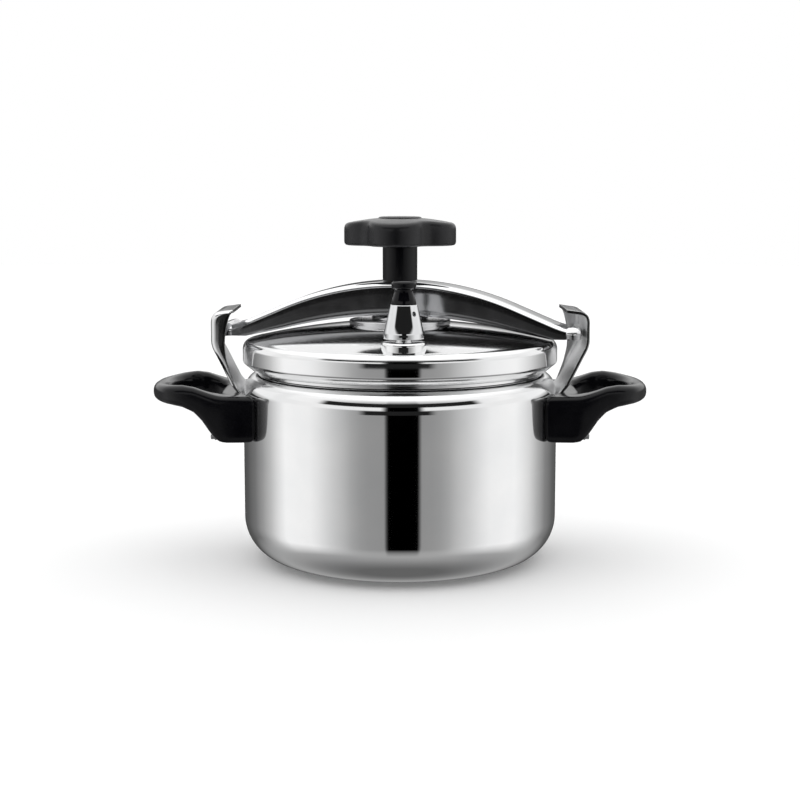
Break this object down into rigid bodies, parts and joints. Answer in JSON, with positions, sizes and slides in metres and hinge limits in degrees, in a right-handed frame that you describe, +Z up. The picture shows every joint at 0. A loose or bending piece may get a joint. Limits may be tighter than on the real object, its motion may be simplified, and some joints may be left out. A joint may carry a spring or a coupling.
{
  "type": "pressure canner",
  "caption": "Polished aluminium pressure canner: pot with hooked lugs and loop handles, lid with weighted valve, arched clamp yoke and lobed hand knob.",
  "frame": {"origin": "centre of the pot's flat base", "axes": "+Z up along the pot's axis, +X towards the right handle, -Y towards the weighted valve"},
  "size_m": [0.3454, 0.22, 0.2394],
  "materials": {
    "pot_aluminium": "polished, with fine turning marks",
    "lid_aluminium": "polished",
    "yoke_chrome": "bright chrome plate",
    "lug_steel": "polished pressed steel",
    "disc_steel": "satin pressed steel",
    "small_steel": "plain turned steel",
    "handle_black": "glossy black phenolic",
    "knob_black": "satin black phenolic",
    "cap_black": "glossy black phenolic",
    "weight_chrome": "bright chrome plate",
    "brass": "turned",
    "gasket_rubber": "matte black rubber"
  },
  "bodies": {
    "pot_body": {"pot": "pot_aluminium", "left_lug": "lug_steel", "right_lug": "lug_steel", "lug_rivets": "lid_aluminium", "handle_bosses": "pot_aluminium", "left_handle": "handle_black", "right_handle": "handle_black", "handle_screws": "small_steel", "handle_washers": "small_steel"},
    "lid_body": {"lid": "lid_aluminium", "lid_gasket": "gasket_rubber", "center_disc": "disc_steel", "disc_rivets": "lid_aluminium", "vent_pipe": "brass", "vent_washer": "gasket_rubber", "vent_nut": "brass", "vent_filter": "small_steel", "safety_body": "small_steel", "safety_seal": "gasket_rubber", "safety_nut": "small_steel", "safety_spring": "small_steel"},
    "weight_body": {"valve_weight": "weight_chrome", "valve_needle": "small_steel", "valve_cap": "cap_black"},
    "safety_body": {"safety_pin": "brass"},
    "foot_body": {"presser_foot": "disc_steel", "foot_ring": "small_steel"},
    "yoke_body": {"yoke": "yoke_chrome", "yoke_bush": "brass", "yoke_collar": "cap_black"},
    "screw_body": {"clamp_screw": "small_steel", "knob": "knob_black", "knob_insert": "small_steel", "knob_pin": "small_steel", "knob_cap": "knob_black"}
  },
  "joints": [
    {"name": "lid_lift", "type": "slide", "parent": "pot_body", "child": "lid_body", "axis": [0, 0, 1], "range_m": [0, 0.16]},
    {"name": "clamp_swing", "type": "hinge", "parent": "lid_body", "child": "foot_body", "pos_m": [0, 0, 0], "axis": [0, 0, 1], "range_deg": [-50, 7]},
    {"name": "knob_turn", "type": "hinge", "parent": "foot_body", "child": "screw_body", "pos_m": [0, 0, 0], "axis": [0, 0, 1], "range_deg": [-1008, 0]},
    {"name": "yoke_rise", "type": "slide", "parent": "foot_body", "child": "yoke_body", "axis": [0, 0, 1], "range_m": [0, 0.0084]},
    {"name": "valve_lift", "type": "slide", "parent": "lid_body", "child": "weight_body", "axis": [0, 0, 1], "range_m": [0, 0.03]},
    {"name": "safety_lift", "type": "slide", "parent": "lid_body", "child": "safety_body", "axis": [0, 0, 1], "range_m": [0, 0.003], "stiffness_N_per_m": 1500, "springref_m": -0.002, "deforming": ["safety_spring"]}
  ],
  "couplings": [
    {"joint": "yoke_rise", "follows": "knob_turn", "m_per_rad": -0.00047746}
  ]
}
